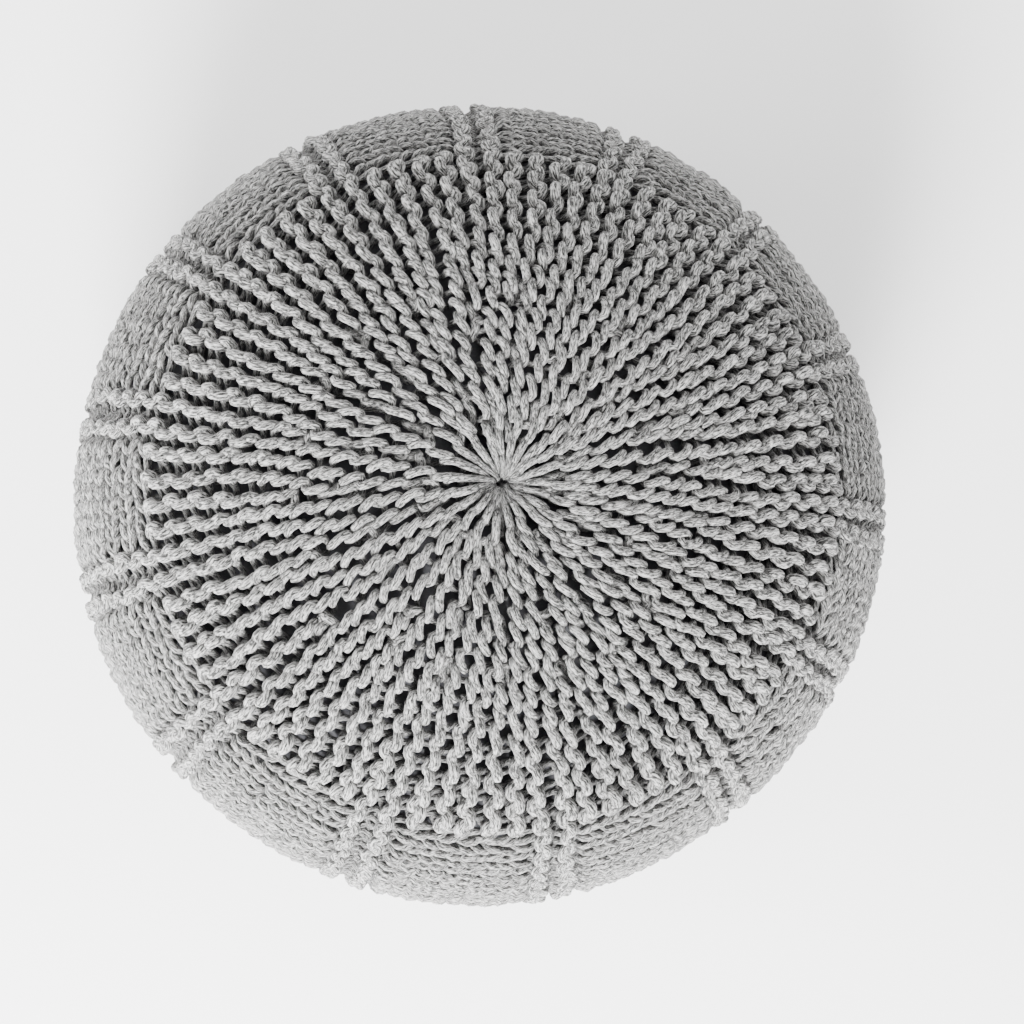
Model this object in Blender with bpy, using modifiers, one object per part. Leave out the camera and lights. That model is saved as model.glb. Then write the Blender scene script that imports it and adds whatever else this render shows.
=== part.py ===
"""A round knitted floor pouf: a thick knitted cover, gathered at the crown and open at the base, over a
lined, filled bag, with a woven base cloth that a zip closes. Metres, +Z up, origin on the floor under the crown."""

import math

import bmesh
import bpy
from mathutils import Matrix, Vector

# Overall form of the cover
POUF_RADIUS = 0.250
WAIST_HEIGHT = 0.150
CROWN_HEIGHT = 0.318
SHOULDER_FULLNESS = 2.5
FLANK_FULLNESS = 2.2
FOOT_INSET = 0.074
DIMPLE_DEPTH = 0.006
DIMPLE_RADIUS = 0.045

# Knitted cover and its openings
KNIT_THICKNESS = 0.012
CROWN_HOLE_RADIUS = 0.009
BASE_RIM_WIDTH = 0.026
GATHER_CORD_DIAMETER = 0.005

# Inner bag
LINING_THICKNESS = 0.001
LINING_SEAM_INSET = 0.045
LINING_LIP = 0.008

# Woven base
BINDING_THICKNESS = 0.0045
BINDING_HEIGHT = 0.008
CLOTH_THICKNESS = 0.0012
CLOTH_DEPTH = 0.004

# Zip across the base
ZIP_END_MARGIN = 0.012
TAPE_WIDTH = 0.0141
TAPE_THICKNESS = 0.0008
CHAIN_GAP = 0.0018
COIL_WIDTH = 0.0027
COIL_THICKNESS = 0.0019
COIL_CLEARANCE = 0.0005
STOP_LENGTH = 0.003
CHAIN_END = 0.014

# Slider and pull
SLIDER_LENGTH = 0.013
SLIDER_WALL = 0.0012
SLIDER_FLANGE = 0.0009
POST_LENGTH = 0.003
EAR_THICKNESS = 0.0012
EAR_RADIUS = 0.0016
PIN_RADIUS = 0.0007
KNUCKLE_RADIUS = 0.0015
KNUCKLE_WIDTH = 0.0038
PULL_WIDTH = 0.007
PULL_LENGTH = 0.020
PULL_THICKNESS = 0.0014

# Clearances and facets
GAP = 0.0003
PIN_CLEARANCE = 0.0003
FACETS = 48
CROWN_STEPS = 7
SHOULDER_STEPS = 7
FLANK_STEPS = 9
PIN_FACETS = 16

# Radii, lengths, levels and widths that follow from the sizes above
FOOT_RADIUS = POUF_RADIUS - FOOT_INSET
BASE_OPENING_RADIUS = FOOT_RADIUS - BASE_RIM_WIDTH
LINING_SEAM_RADIUS = POUF_RADIUS - LINING_SEAM_INSET
ZIP_LENGTH = 2 * (BASE_OPENING_RADIUS - ZIP_END_MARGIN)
CLOTH_LEVEL = KNIT_THICKNESS - CLOTH_DEPTH
CLOTH_TOP = CLOTH_LEVEL + CLOTH_THICKNESS
TAPE_LEVEL = CLOTH_TOP + GAP
COIL_LEVEL = TAPE_LEVEL - GAP - COIL_THICKNESS
SLIDER_LEVEL = COIL_LEVEL - GAP - SLIDER_WALL
INNER_PLATE_LEVEL = TAPE_LEVEL + TAPE_THICKNESS + GAP
SLIDER_WIDTH = CHAIN_GAP + 2 * (COIL_WIDTH + COIL_CLEARANCE + SLIDER_FLANGE)
CLOTH_SLOT = SLIDER_WIDTH + 2 * GAP
POST_WIDTH = CHAIN_GAP - 2 * GAP
PIN_LEVEL = SLIDER_LEVEL - GAP - KNUCKLE_RADIUS
BAG_BOTTOM_LEVEL = KNIT_THICKNESS + GAP + LINING_THICKNESS + GAP
CHAIN_HALF = ZIP_LENGTH / 2 - CHAIN_END
SLIDER_X = CHAIN_HALF - GAP - SLIDER_LENGTH / 2


# ---------------------------------------------------------------- scene and materials
def clear_scene():
    for thing in list(bpy.data.objects):
        bpy.data.objects.remove(thing, do_unlink=True)


def make_collection(name):
    collection = bpy.data.collections.new(name)
    bpy.context.scene.collection.children.link(collection)
    return collection


def make_material(name, colour, roughness, metallic=0.0):
    material = bpy.data.materials.new(name)
    material.use_nodes = True
    shader = material.node_tree.nodes["Principled BSDF"]
    shader.inputs["Base Color"].default_value = (*colour, 1.0)
    shader.inputs["Roughness"].default_value = roughness
    shader.inputs["Metallic"].default_value = metallic
    return material


def add_piece(name, data, finish, parent=None):
    """Puts a mesh or a curve into the scene as one named sub-part, under parent where it has one."""
    piece = bpy.data.objects.new(name, data)
    piece.data.materials.append(FINISHES[finish])
    PIECES.objects.link(piece)
    piece.parent = parent
    return piece


def add_pivot(name, place, parent=None):
    """An empty on a joint's axis. The pieces under it are placed from that point."""
    pivot = bpy.data.objects.new(name, None)
    pivot.location = place
    pivot.parent = parent
    PIECES.objects.link(pivot)
    return pivot


# ---------------------------------------------------------------- profile of the cover
def shoulder_point(angle):
    """Upper quarter of a superellipse from the waist (0) to the crown (a right angle), with the crown's dimple."""
    radius = POUF_RADIUS * math.cos(angle) ** (2 / SHOULDER_FULLNESS)
    height = WAIST_HEIGHT + (CROWN_HEIGHT - WAIST_HEIGHT) * math.sin(angle) ** (2 / SHOULDER_FULLNESS)
    height -= DIMPLE_DEPTH * math.exp(-((radius / DIMPLE_RADIUS) ** 2))
    return Vector((radius, 0, height))


def flank_point(angle):
    """Lower quarter of a superellipse from the waist (0) to the edge of the flat foot (a right angle)."""
    radius = FOOT_RADIUS + (POUF_RADIUS - FOOT_RADIUS) * math.cos(angle) ** (2 / FLANK_FULLNESS)
    height = WAIST_HEIGHT * (1 - math.sin(angle) ** (2 / FLANK_FULLNESS))
    return Vector((radius, 0, height))


def shoulder_angle(radius):
    """The shoulder's angle at which the cover has this radius."""
    return math.acos((radius / POUF_RADIUS) ** (SHOULDER_FULLNESS / 2))


def whole_line():
    """The cover's outer line from the axis over the crown, shoulder and flank to the base opening, and the places
    along it of the crown hole, the inner bag's seam and the inner bag's lip. Every shell is cut from this one line."""
    hole, seam = shoulder_angle(CROWN_HOLE_RADIUS), shoulder_angle(LINING_SEAM_RADIUS)
    crown = [hole + (seam - hole) * i / CROWN_STEPS for i in range(CROWN_STEPS)]
    shoulder = [seam * (1 - i / SHOULDER_STEPS) for i in range(SHOULDER_STEPS + 1)]
    flank = [math.pi / 2 * i / FLANK_STEPS for i in range(1, FLANK_STEPS + 1)]
    line = [shoulder_point(angle) for angle in [math.pi / 2, *crown, *shoulder]]
    line += [flank_point(angle) for angle in flank]
    line.append(Vector((FOOT_RADIUS - LINING_LIP, 0, 0)))
    line.append(Vector((BASE_OPENING_RADIUS, 0, 0)))
    return line, {"hole": 1, "seam": 1 + CROWN_STEPS, "lip": len(line) - 2}


def inset(line, distance):
    """The same line moved inwards by one distance all along, each corner on its bisector. On the axis it only moves down."""
    moved = []
    for i, point in enumerate(line):
        before = (point - line[i - 1]).normalized() if i else None
        after = (line[i + 1] - point).normalized() if i + 1 < len(line) else None
        normals = [Vector((-d.z, 0, d.x)) for d in (before, after) if d is not None]
        outward = sum(normals, Vector()).normalized()
        step = distance / outward.dot(normals[0])
        target = point - outward * step
        moved.append(Vector((0, 0, point.z - distance)) if point.x < GAP else target)
    return moved


def trimmed(line, at_start=0.0, at_end=0.0):
    """The line with its first and last stretch shortened."""
    line = [point.copy() for point in line]
    line[0] += (line[1] - line[0]).normalized() * at_start
    line[-1] += (line[-2] - line[-1]).normalized() * at_end
    return line


def turned(name, line, finish, wall=0.0):
    """A profile in the XZ plane, carried once round the Z axis. With a wall it is a shell that thickens inwards."""
    mesh = bpy.data.meshes.new(name)
    mesh.from_pydata([tuple(p) for p in line], [(i, i + 1) for i in range(len(line) - 1)], [])
    piece = add_piece(name, mesh, finish)
    screw = piece.modifiers.new("Turn", "SCREW")
    screw.axis = "Z"
    screw.angle = 2 * math.pi
    screw.steps = FACETS
    screw.render_steps = FACETS
    screw.use_merge_vertices = True
    screw.merge_threshold = 0.00001
    screw.use_smooth_shade = True
    if wall:
        shell = piece.modifiers.new("Wall", "SOLIDIFY")
        shell.thickness = wall
        shell.offset = -1
        shell.use_even_offset = True
    return piece


# ---------------------------------------------------------------- cover and inner bag
def make_cover():
    line, at = whole_line()
    turned("knitted_cover", line[at["hole"] :], "cotton_cord", KNIT_THICKNESS)
    radius = GATHER_CORD_DIAMETER / 2
    bpy.ops.mesh.primitive_torus_add(
        major_radius=CROWN_HOLE_RADIUS - GAP - radius,
        minor_radius=radius,
        major_segments=FACETS // 2,
        minor_segments=12,
        location=(0, 0, line[at["hole"]].z - KNIT_THICKNESS + radius + GAP),
    )
    adopt("crown_gathering_cord", "cotton_cord")


def make_inner_bag():
    """A round top panel, a side band with a lip at its foot, a flat bottom panel on that lip, and the filling."""
    line, at = whole_line()
    bag = inset(line, KNIT_THICKNESS + GAP)
    top = trimmed(bag[: at["seam"] + 1], at_end=GAP / 2)
    side = trimmed(bag[at["seam"] : at["lip"] + 1], at_start=GAP / 2)
    turned("lining_top_panel", top, "black_lining", LINING_THICKNESS)
    turned("lining_side_band", side, "black_lining", LINING_THICKNESS)
    bpy.ops.mesh.primitive_cylinder_add(
        vertices=FACETS,
        radius=FOOT_RADIUS,
        depth=LINING_THICKNESS,
        location=(0, 0, BAG_BOTTOM_LEVEL + LINING_THICKNESS / 2),
    )
    adopt("lining_bottom_panel", "black_lining")

    core = inset(line, KNIT_THICKNESS + GAP + LINING_THICKNESS + GAP)
    floor = BAG_BOTTOM_LEVEL + LINING_THICKNESS + GAP
    filling = [point for point in core if point.z > floor]
    last, beneath = filling[-1], core[len(filling)]
    share = (last.z - floor) / (last.z - beneath.z)
    filling += [last.lerp(beneath, share), Vector((0, 0, floor))]
    turned("bead_filling", filling, "white_beads")


# ---------------------------------------------------------------- base and zip
def adopt(name, finish, parent=None):
    """Names the primitive that was just added, gives it its finish and moves it into the pouf's collection."""
    piece = bpy.context.object
    piece.name = name
    piece.data.name = name
    piece.data.materials.append(FINISHES[finish])
    for collection in list(piece.users_collection):
        collection.objects.unlink(piece)
    PIECES.objects.link(piece)
    piece.parent = parent
    return piece


def box_mesh(name, low, high):
    """A rectangular block between two corners."""
    low, high = Vector(low), Vector(high)
    mesh = bpy.data.meshes.new(name)
    block = bmesh.new()
    bmesh.ops.create_cube(block, size=1)
    bmesh.ops.transform(block, matrix=Matrix.Diagonal((*(high - low), 1)), verts=block.verts)
    bmesh.ops.translate(block, vec=(low + high) / 2, verts=block.verts)
    block.to_mesh(mesh)
    block.free()
    return mesh


def pin_mesh(name, radius, width):
    """A round bar along Y, centred on the origin."""
    mesh = bpy.data.meshes.new(name)
    bar = bmesh.new()
    bmesh.ops.create_cone(
        bar, cap_ends=True, segments=PIN_FACETS, radius1=radius, radius2=radius, depth=width
    )
    bmesh.ops.rotate(bar, matrix=Matrix.Rotation(math.pi / 2, 3, "X"), verts=bar.verts)
    bar.to_mesh(mesh)
    bar.free()
    return mesh


def add_tool(name, mesh, parent):
    """A hidden shape that a Boolean joins to a piece, or cuts from it."""
    tool = bpy.data.objects.new(name, mesh)
    tool.parent = parent
    tool.hide_render = True
    tool.display_type = "WIRE"
    TOOLS.objects.link(tool)
    return tool


def combine(piece, tool, operation):
    change = piece.modifiers.new(tool.name, "BOOLEAN")
    change.object = tool
    change.operation = operation
    change.solver = "EXACT"


def half_disc_curve(name, radius, edge, thickness):
    """A flat half round, with its straight side at y = edge, as a filled 2D curve."""
    curve = bpy.data.curves.new(name, "CURVE")
    curve.dimensions = "2D"
    curve.fill_mode = "BOTH"
    curve.extrude = thickness / 2
    start = math.asin(edge / radius)
    steps = FACETS // 2
    outline = curve.splines.new("POLY")
    outline.points.add(steps)
    for i in range(steps + 1):
        angle = start + (math.pi - 2 * start) * i / steps
        outline.points[i].co = (radius * math.cos(angle), radius * math.sin(angle), 0, 1)
    outline.use_cyclic_u = True
    return curve


def make_base():
    outer = BASE_OPENING_RADIUS * math.cos(math.pi / FACETS) - GAP
    bottom = KNIT_THICKNESS - BINDING_HEIGHT
    edge = [Vector((outer, 0, KNIT_THICKNESS)), Vector((outer, 0, bottom))]
    turned("base_binding", edge, "black_canvas", BINDING_THICKNESS)
    radius = (outer - BINDING_THICKNESS) * math.cos(math.pi / FACETS) - GAP
    for side, turn in (("left", 0), ("right", math.pi)):
        name = f"base_cloth_{side}"
        cloth = add_piece(
            name, half_disc_curve(name, radius, CLOTH_SLOT / 2, CLOTH_THICKNESS), "black_canvas"
        )
        cloth.location.z = CLOTH_LEVEL + CLOTH_THICKNESS / 2
        cloth.rotation_euler.z = turn


def make_chain():
    """Each side has a tape, a row of coil under it and a top stop. One bottom stop crosses both rows."""
    inner = CHAIN_GAP / 2
    end = CHAIN_HALF + STOP_LENGTH
    for side, sign in (("left", 1), ("right", -1)):
        strips = {
            f"zip_tape_{side}": (
                (-ZIP_LENGTH / 2, inner, TAPE_LEVEL),
                (ZIP_LENGTH / 2, inner + TAPE_WIDTH, TAPE_LEVEL + TAPE_THICKNESS),
                "black_canvas",
            ),
            f"zip_coil_{side}": (
                (-CHAIN_HALF, inner, COIL_LEVEL),
                (CHAIN_HALF - GAP, inner + COIL_WIDTH, COIL_LEVEL + COIL_THICKNESS),
                "black_nylon",
            ),
            f"zip_top_stop_{side}": (
                (CHAIN_HALF, inner, COIL_LEVEL - GAP),
                (end, inner + COIL_WIDTH + GAP, COIL_LEVEL + COIL_THICKNESS),
                "dark_zinc",
            ),
        }
        for name, (low, high, finish) in strips.items():
            strip = add_piece(name, box_mesh(name, low, high), finish)
            if sign < 0:
                strip.data.transform(Matrix.Scale(-1, 4, (0, 1, 0)))
                strip.data.flip_normals()
    half = inner + COIL_WIDTH + GAP
    low = (-end, -half, COIL_LEVEL - GAP)
    high = (-CHAIN_HALF - GAP, half, COIL_LEVEL + COIL_THICKNESS)
    add_piece("zip_bottom_stop", box_mesh("zip_bottom_stop", low, high), "dark_zinc")


def make_slider():
    """Two plates held apart by a post that runs between the tapes, side flanges, and two ears with a cross pin."""
    pivot = add_pivot("zip_slider_pivot", (SLIDER_X, 0, PIN_LEVEL))
    level = SLIDER_LEVEL - PIN_LEVEL
    reach, half = SLIDER_LENGTH / 2, SLIDER_WIDTH / 2
    inner = INNER_PLATE_LEVEL - PIN_LEVEL
    plate = box_mesh("zip_slider", (-reach, -half, level), (reach, half, level + SLIDER_WALL))
    slider = add_piece("zip_slider", plate, "dark_zinc", pivot)
    flange_top = TAPE_LEVEL - GAP - PIN_LEVEL
    overlap = SLIDER_WALL / 2
    blocks = {
        "slider_inner_plate": ((-reach, -half, inner), (reach, half, inner + SLIDER_WALL)),
        "slider_post": (
            (reach - POST_LENGTH, -POST_WIDTH / 2, level + overlap),
            (reach - GAP, POST_WIDTH / 2, inner + overlap),
        ),
    }
    for side, sign in (("left", 1), ("right", -1)):
        outer, wall = sign * half, sign * (half - SLIDER_FLANGE)
        blocks[f"slider_flange_{side}"] = (
            (-reach + GAP, min(outer, wall) + GAP / 10, level + overlap),
            (reach - GAP, max(outer, wall) - GAP / 10, flange_top),
        )
        near = sign * (KNUCKLE_WIDTH / 2 + GAP)
        far = near + sign * EAR_THICKNESS
        blocks[f"slider_ear_{side}"] = (
            (-EAR_RADIUS, min(near, far), -EAR_RADIUS),
            (EAR_RADIUS, max(near, far), level + overlap),
        )
    for name, (low, high) in blocks.items():
        combine(slider, add_tool(name, box_mesh(name, low, high), pivot), "UNION")
    pin_width = KNUCKLE_WIDTH + 2 * GAP + EAR_THICKNESS
    combine(slider, add_tool("slider_pin", pin_mesh("slider_pin", PIN_RADIUS, pin_width), pivot), "UNION")
    return pivot


def make_pull(slider_pivot):
    """A tab with a knuckle that turns on the slider's pin. It lies back along the chain."""
    pivot = add_pivot("zip_pull_pivot", (0, 0, 0), slider_pivot)
    knuckle = pin_mesh("zip_pull", KNUCKLE_RADIUS, KNUCKLE_WIDTH)
    pull = add_piece("zip_pull", knuckle, "dark_zinc", pivot)
    half = PULL_THICKNESS / 2
    neck_end = EAR_RADIUS + 4 * GAP
    neck = box_mesh(
        "pull_neck",
        (-neck_end - PULL_WIDTH / 2, -KNUCKLE_WIDTH / 2 + GAP / 3, -half),
        (-PIN_RADIUS, KNUCKLE_WIDTH / 2 - GAP / 3, half),
    )
    tab = box_mesh(
        "pull_tab", (-PULL_LENGTH, -PULL_WIDTH / 2, -half + GAP / 10), (-neck_end, PULL_WIDTH / 2, half - GAP / 10)
    )
    hole = pin_mesh("pull_hole", PIN_RADIUS + PIN_CLEARANCE, 2 * KNUCKLE_WIDTH)
    combine(pull, add_tool("pull_neck", neck, pivot), "UNION")
    combine(pull, add_tool("pull_tab", tab, pivot), "UNION")
    combine(pull, add_tool("pull_hole", hole, pivot), "DIFFERENCE")


clear_scene()
PIECES = make_collection("knitted_pouf")
TOOLS = make_collection("cutters")
FINISHES = {
    "cotton_cord": make_material("cotton_cord", (0.60, 0.60, 0.59), 0.95),
    "black_lining": make_material("black_lining", (0.010, 0.010, 0.011), 0.85),
    "white_beads": make_material("white_beads", (0.82, 0.82, 0.82), 0.7),
    "black_canvas": make_material("black_canvas", (0.016, 0.016, 0.017), 0.8),
    "black_nylon": make_material("black_nylon", (0.012, 0.012, 0.013), 0.45),
    "dark_zinc": make_material("dark_zinc", (0.16, 0.16, 0.17), 0.4, 1.0),
}
make_cover()
make_inner_bag()
make_base()
make_chain()
make_pull(make_slider())
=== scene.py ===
# %% [markdown]
# # A hand-knitted floor pouf
#
# The real object is a round floor cushion. Its cover is knitted by hand from a thick, soft
# cotton cord, in a wheel of wedges that starts at the crown. Under the cover lies a black
# lining bag full of light beads, and the base has a round canvas panel with a zip.
#
# The looks are built here around a fixed CAD model. Each new piece takes its place and size
# from that model, so that it moves with the right body when the zip slides.

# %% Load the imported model
import math

import bmesh
import bpy
import numpy as np
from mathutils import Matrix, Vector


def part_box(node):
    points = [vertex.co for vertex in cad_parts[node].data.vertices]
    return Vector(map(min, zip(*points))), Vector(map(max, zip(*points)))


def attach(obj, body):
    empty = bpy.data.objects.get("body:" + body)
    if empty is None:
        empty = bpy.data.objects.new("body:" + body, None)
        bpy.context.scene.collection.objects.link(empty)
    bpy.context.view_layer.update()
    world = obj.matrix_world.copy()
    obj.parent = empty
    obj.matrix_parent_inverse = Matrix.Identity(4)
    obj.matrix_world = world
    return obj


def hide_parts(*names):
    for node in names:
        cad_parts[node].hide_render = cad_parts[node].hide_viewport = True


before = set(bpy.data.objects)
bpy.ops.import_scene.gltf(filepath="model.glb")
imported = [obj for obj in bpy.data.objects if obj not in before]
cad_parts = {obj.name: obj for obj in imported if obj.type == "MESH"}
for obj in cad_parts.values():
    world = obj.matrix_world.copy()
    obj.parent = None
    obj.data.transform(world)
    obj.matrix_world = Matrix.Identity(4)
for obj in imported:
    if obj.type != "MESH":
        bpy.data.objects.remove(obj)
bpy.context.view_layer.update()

# %% [markdown]
# ## Helpers
#
# Every new piece is a grid of points that wraps into a surface, so one function turns arrays
# into a mesh, and another gives the faces of a grid. Value noise from a seeded table gives
# hand-made irregularity that is the same on each run.

# %% Numbers and noise
MM = 0.001
TURN = 2 * math.pi
NOISE_ROWS, NOISE_COLUMNS = 256, 64
dice = np.random.default_rng(7)
NOISE_TABLE = dice.normal(size=(NOISE_ROWS, NOISE_COLUMNS))


def smooth(x):
    """0 below 0, 1 above 1, and 3x² − 2x³ between, which is level at both ends."""
    x = np.clip(x, 0, 1)
    return x * x * (3 - 2 * x)


def wander(seed, x):
    """A smooth random line: random heights at whole x, from row `seed` of the table, with a
    smooth step between neighbours."""
    low = np.floor(x).astype(int)
    share = smooth(x - low)
    heights = NOISE_TABLE[seed % NOISE_ROWS]
    return heights[low % NOISE_COLUMNS] * (1 - share) + heights[(low + 1) % NOISE_COLUMNS] * share


def between(low, high, share):
    """low where share is 0, high where it is 1, and in proportion between."""
    return low + (high - low) * share


def unit(vectors):
    """Each vector divided by its own length."""
    return vectors / np.linalg.norm(vectors, axis=-1, keepdims=True)


# %% Meshes from arrays
WELD_DISTANCE = 1e-6


def grid_faces(rows, columns, wrap=False):
    """The quads of a grid of points counted row by row. Each joins a point to the next in its
    row and in the next row; wrap joins the last column to the first."""
    i, j = np.meshgrid(np.arange(rows - 1), np.arange(columns if wrap else columns - 1), indexing="ij")
    k = (j + 1) % columns
    corners = [i * columns + j, i * columns + k, (i + 1) * columns + k, (i + 1) * columns + j]
    return np.stack(corners, -1).reshape(-1, 4)


def weld_doubles(mesh):
    """Merges the points that lie together at a pole or a seam, and drops the faces that this
    leaves without area."""
    welded = bmesh.new()
    welded.from_mesh(mesh)
    bmesh.ops.remove_doubles(welded, verts=welded.verts, dist=WELD_DISTANCE)
    bmesh.ops.dissolve_degenerate(welded, edges=welded.edges, dist=WELD_DISTANCE)
    welded.to_mesh(mesh)
    welded.free()


def make_piece(name, points, faces, material, body="root", maps=None, values=None, weld=False):
    """One mesh object from an array of points and an array of quads. maps gives each UV map's
    name and its (u, v) at every face corner, and values each attribute's name and its number
    at every point. weld closes poles and seams."""
    mesh = bpy.data.meshes.new(name)
    mesh.vertices.add(len(points))
    mesh.vertices.foreach_set("co", np.ascontiguousarray(points, dtype=np.float32).ravel())
    mesh.loops.add(faces.size)
    mesh.loops.foreach_set("vertex_index", faces.ravel().astype(np.int32))
    mesh.polygons.add(len(faces))
    mesh.polygons.foreach_set("loop_start", np.arange(0, faces.size, 4, dtype=np.int32))
    for map_name, corners in (maps or {}).items():
        layer = mesh.uv_layers.new(name=map_name)
        layer.data.foreach_set("uv", np.ascontiguousarray(corners, dtype=np.float32).ravel())
    for value_name, numbers in (values or {}).items():
        layer = mesh.attributes.new(value_name, "FLOAT", "POINT")
        layer.data.foreach_set("value", np.ascontiguousarray(numbers, dtype=np.float32))
    mesh.update(calc_edges=True)
    if weld:
        weld_doubles(mesh)
    mesh.shade_smooth()
    mesh.materials.append(material)
    piece = bpy.data.objects.new(name, mesh)
    bpy.context.scene.collection.objects.link(piece)
    if body:
        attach(piece, body)
    return piece


# %% [markdown]
# ## Materials
#
# A colour is written as the hex value that a screen shows, and one function turns it into
# the linear light that the shader works in. One function adds a node, sets it and links it.

# %% Colour and node helpers
def linear(hex_colour):
    """The linear colour of an sRGB hex value: each channel c becomes ((c + 0.055) / 1.055) to
    the power 2.4, or c / 12.92 where it is very dark."""
    channels = [int(hex_colour[i:i + 2], 16) / 255 for i in (1, 3, 5)]
    return [((c + 0.055) / 1.055) ** 2.4 if c > 0.04045 else c / 12.92 for c in channels] + [1.0]


def add_node(tree, kind, inputs=None, stops=None, **settings):
    """Adds one node. settings are its own properties, inputs gives each input a value or the
    output that feeds it, and stops gives a colour ramp its places and their hex colours."""
    node = tree.nodes.new(kind)
    for name, value in settings.items():
        setattr(node, name, value)
    for name, value in (inputs or {}).items():
        if isinstance(value, bpy.types.NodeSocket):
            tree.links.new(value, node.inputs[name])
        else:
            node.inputs[name].default_value = value
    for number, (place, hex_colour) in enumerate((stops or {}).items()):
        elements = node.color_ramp.elements
        stop = elements[number] if number < 2 else elements.new(place)
        stop.position, stop.color = place, linear(hex_colour)
    return node


def start_material(name, **numbers):
    """A new material, the tree in it, and its Principled shader. numbers gives each of the
    shader's inputs that is the same all over, with _ for each space in its name."""
    material = bpy.data.materials.new(name)
    material.use_nodes = True
    shader = material.node_tree.nodes["Principled BSDF"]
    for input_name, number in numbers.items():
        shader.inputs[input_name.replace("_", " ")].default_value = number
    return material, material.node_tree, shader


# %% [markdown]
# ### Cotton cord
#
# The cord is a soft bundle of spun cotton threads, 4 to 6 mm thick, laid side by side with
# a slow twist. The furrows between its threads are painted dark, as painted shade, so the
# cord shows off-white and matt with fine darker streaks along it. The streaks follow the cord's own
# UV map, where u is the distance along the cord in metres and v goes once round it. The
# noise is looked up on a cylinder, so it has no seam. Shade also falls on the cord that lies
# deep in the fabric, and it is painted too: the colour falls with each point's height in
# the fabric.

# %% Cotton cord material
CORD_DIAMETER = 4.8 * MM
THREAD_WIDTH = 0.65 * MM
THREAD_STRETCH = 3.6
FIBRES_PER_THREAD = 2.6
FIBRE_RELIEF = 0.35
TWISTS_PER_METRE = 9.0
PATCH_SIZE = 60 * MM
SHADED_BELOW, UNSHADED_ABOVE = -9 * MM, 6.5 * MM
DARKEST_PAINTED_SHADE = 0.15
THREAD_RELIEF = 1.5 * MM


def noise_round_cord(tree):
    """The point at which the cord's noise is looked up, and its UV map's two parts: x and y are
    cos and sin of the angle round the cord, which twists as u goes on, and z follows u."""
    place = add_node(tree, "ShaderNodeUVMap", uv_map="Strand")
    parts = add_node(tree, "ShaderNodeSeparateXYZ", {0: place.outputs["UV"]})
    u, v = parts.outputs["X"], parts.outputs["Y"]
    turns = add_node(tree, "ShaderNodeMath", {0: u, 1: TWISTS_PER_METRE, 2: v}, operation="MULTIPLY_ADD")
    angle = add_node(tree, "ShaderNodeMath", {0: turns.outputs[0], 1: TURN}, operation="MULTIPLY")
    across = add_node(tree, "ShaderNodeMath", {0: angle.outputs[0]}, operation="COSINE")
    upward = add_node(tree, "ShaderNodeMath", {0: angle.outputs[0]}, operation="SINE")
    per_metre = 2 / (CORD_DIAMETER * THREAD_STRETCH)
    along = add_node(tree, "ShaderNodeMath", {0: u, 1: per_metre}, operation="MULTIPLY")
    parts = {"X": across.outputs[0], "Y": upward.outputs[0], "Z": along.outputs[0]}
    return add_node(tree, "ShaderNodeCombineXYZ", parts).outputs[0]


def make_cotton_cord():
    """Spun cotton threads laid with a slow twist: matt and off-white, with painted shade in the furrows
    between threads and on the cord that lies deep.
    """
    material, tree, shader = start_material(
        "cotton_cord_spun_and_twisted", Roughness=0.92, Specular_IOR_Level=0.2, Sheen_Weight=0.2,
        Sheen_Roughness=0.5)
    on_cord = noise_round_cord(tree)
    threads = add_node(tree, "ShaderNodeTexNoise", {
        "Vector": on_cord, "Scale": CORD_DIAMETER / 2 / THREAD_WIDTH, "Detail": 3.0, "Roughness": 0.62,
        "Distortion": 0.15})
    fibres = add_node(tree, "ShaderNodeTexNoise", {
        "Vector": on_cord, "Scale": FIBRES_PER_THREAD * CORD_DIAMETER / 2 / THREAD_WIDTH, "Detail": 2.0,
        "Roughness": 0.5})
    body = add_node(tree, "ShaderNodeTexCoord")
    patches = add_node(tree, "ShaderNodeTexNoise", {
        "Vector": body.outputs["Object"], "Scale": 1 / PATCH_SIZE, "Detail": 2.0})
    # Painted shade: the furrows between the threads are coloured dark, down to #262625.
    painted_furrow_shade = add_node(tree, "ShaderNodeValToRGB", {0: threads.outputs["Fac"]}, stops={
        0.45: "#262625", 0.56: "#9A9997", 0.66: "#BDBCBA"})
    tint = add_node(tree, "ShaderNodeMapRange", {
        "Value": patches.outputs["Fac"], "From Min": 0.3, "From Max": 0.7, "To Min": 0.9, "To Max": 1.0})
    # Painted shade: the colour darkens with the Height attribute, so cord that lies deep in the fabric is
    # coloured darker.
    height = add_node(tree, "ShaderNodeAttribute", attribute_name="Height")
    painted_depth_shade = add_node(tree, "ShaderNodeMapRange", {
        "Value": height.outputs["Fac"], "From Min": SHADED_BELOW, "From Max": UNSHADED_ABOVE,
        "To Min": DARKEST_PAINTED_SHADE, "To Max": 1.0}, interpolation_type="SMOOTHSTEP")
    tone_and_depth_shade = add_node(tree, "ShaderNodeMath", {0: tint.outputs[0], 1: painted_depth_shade.outputs[0]}, operation="MULTIPLY")
    grey = add_node(tree, "ShaderNodeCombineColor", {i: tone_and_depth_shade.outputs[0] for i in range(3)})
    shade = add_node(tree, "ShaderNodeMix", {
        0: 1.0, 6: painted_furrow_shade.outputs["Color"], 7: grey.outputs[0]}, data_type="RGBA", blend_type="MULTIPLY")
    tree.links.new(shade.outputs[2], shader.inputs["Base Color"])
    relief = add_node(tree, "ShaderNodeMath", {
        0: fibres.outputs["Fac"], 1: FIBRE_RELIEF, 2: threads.outputs["Fac"]}, operation="MULTIPLY_ADD")
    bump = add_node(tree, "ShaderNodeBump", {
        "Strength": 1.0, "Distance": THREAD_RELIEF, "Height": relief.outputs[0]})
    tree.links.new(bump.outputs[0], shader.inputs["Normal"])
    return material


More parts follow.
